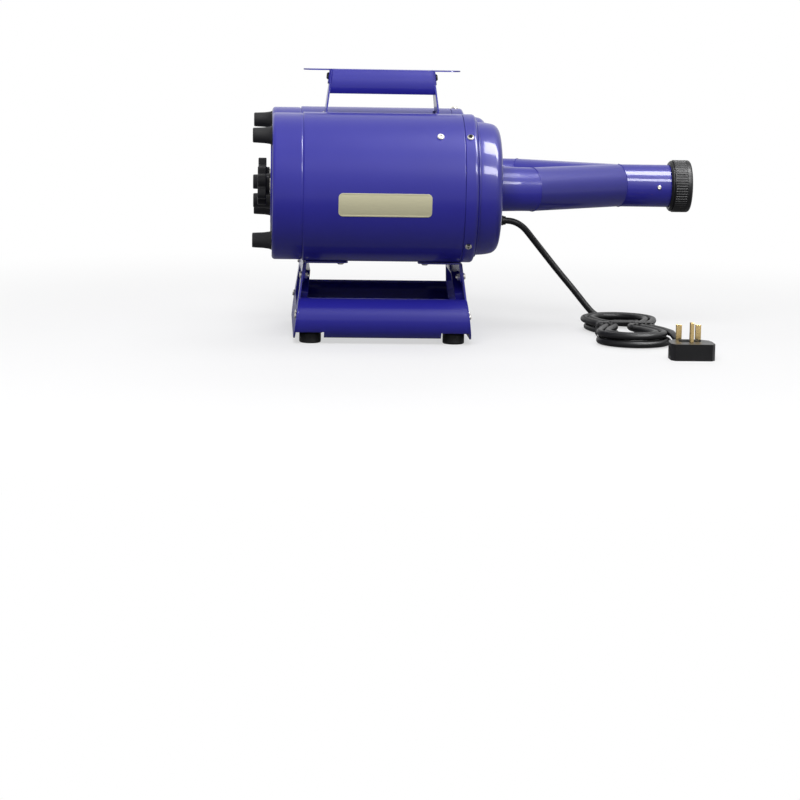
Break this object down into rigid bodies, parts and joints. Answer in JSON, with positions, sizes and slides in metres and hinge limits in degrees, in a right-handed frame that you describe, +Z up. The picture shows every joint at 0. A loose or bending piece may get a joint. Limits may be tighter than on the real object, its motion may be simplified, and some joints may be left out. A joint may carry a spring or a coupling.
{
  "type": "pet dryer",
  "caption": "Mains pet-grooming blower: drum housings side by side, forked outlet tube with a ribbed ring, folded sheet stand and carrying handle.",
  "frame": {"origin": "on the floor, under the middle of the body's length and width; the cord, its hank and its plug don't count", "axes": "+X along the drums towards the outlet, +Y towards the drum that carries the controls, +Z up"},
  "size_m": [0.5264, 0.4042, 0.3158],
  "materials": {
    "blue_paint": "gloss enamel",
    "black_rubber": "moulded, satin",
    "black_plastic": "fine texture, satin",
    "filter_foam": "open cell foam",
    "liner_foam": "egg-crate foam",
    "zinc_steel": "zinc plated",
    "pale_screws": "zinc plated, pale",
    "fan_steel": "pressed, bare",
    "bearing_steel": "ground",
    "rotor_metal": "bare",
    "winding_copper": "enamelled windings",
    "green_board": "varnished board",
    "cord_jacket": "smooth PVC",
    "plug_plastic": "moulded",
    "brass_pins": "bright"
  },
  "bodies": {
    "housing": {"near_shell": "blue_paint", "far_shell": "blue_paint", "near_rear_cap": "blue_paint", "far_rear_cap": "blue_paint", "near_front_collar": "blue_paint", "far_front_collar": "blue_paint", "near_front_dome": "blue_paint", "far_front_dome": "blue_paint", "dome_seals": "black_rubber", "near_intake_cover": "blue_paint", "far_intake_cover": "blue_paint", "near_filter_foam": "filter_foam", "far_filter_foam": "filter_foam", "near_knob_stud": "zinc_steel", "far_knob_stud": "zinc_steel", "end_feet": "black_rubber", "near_motor_mount": "zinc_steel", "far_motor_mount": "zinc_steel", "near_fan_housing": "fan_steel", "far_fan_housing": "fan_steel", "near_motor_field": "winding_copper", "far_motor_field": "winding_copper", "motor_bearings": "bearing_steel", "near_foam_liner": "liner_foam", "far_foam_liner": "liner_foam", "outlet_manifold": "blue_paint", "outlet_ring": "black_plastic", "handle_grip": "blue_paint", "handle_rear_plate": "blue_paint", "handle_front_plate": "blue_paint", "cord_hooks": "blue_paint", "handle_brackets": "blue_paint", "handle_fasteners": "zinc_steel", "base_rear_plate": "blue_paint", "base_front_plate": "blue_paint", "base_near_panel": "blue_paint", "base_far_panel": "blue_paint", "base_brackets": "blue_paint", "base_fasteners": "zinc_steel", "base_feet": "black_rubber", "housing_screws": "pale_screws", "speed_control": "bearing_steel", "switch_frame": "black_plastic", "control_board": "green_board", "cord_gland": "black_plastic", "cord_feed": "cord_jacket", "cord_hank": "cord_jacket", "cord_tail": "cord_jacket", "cord_tie": "black_plastic", "plug_body": "plug_plastic", "plug_pins": "brass_pins"},
    "near_knob": {"near_star_knob": "black_plastic"},
    "far_knob": {"far_star_knob": "black_plastic"},
    "near_motor": {"near_rotor": "rotor_metal"},
    "far_motor": {"far_rotor": "rotor_metal"},
    "dial": {"speed_knob": "black_plastic"},
    "switch": {"rocker": "black_plastic"}
  },
  "joints": [
    {"name": "near_knob_turn", "type": "hinge", "parent": "housing", "child": "near_knob", "pos_m": [-0.24361, -0.089, 0.1815], "axis": [-1, 0, 0], "range_deg": [0, 1080]},
    {"name": "far_knob_turn", "type": "hinge", "parent": "housing", "child": "far_knob", "pos_m": [-0.24361, 0.089, 0.1815], "axis": [-1, 0, 0], "range_deg": [0, 1080]},
    {"name": "near_motor_spin", "type": "hinge", "parent": "housing", "child": "near_motor", "pos_m": [-0.12071, -0.089, 0.1815], "axis": [1, 0, 0], "continuous": true},
    {"name": "far_motor_spin", "type": "hinge", "parent": "housing", "child": "far_motor", "pos_m": [-0.12071, 0.089, 0.1815], "axis": [1, 0, 0], "continuous": true},
    {"name": "dial_turn", "type": "hinge", "parent": "housing", "child": "dial", "pos_m": [0.02729, 0.1298, 0.2005], "axis": [-1, 0, 0], "range_deg": [0, 300]},
    {"name": "rocker_tilt", "type": "hinge", "parent": "housing", "child": "switch", "pos_m": [0.02229, 0.1287, 0.1605], "axis": [0, -1, 0], "range_deg": [0, 12]}
  ]
}
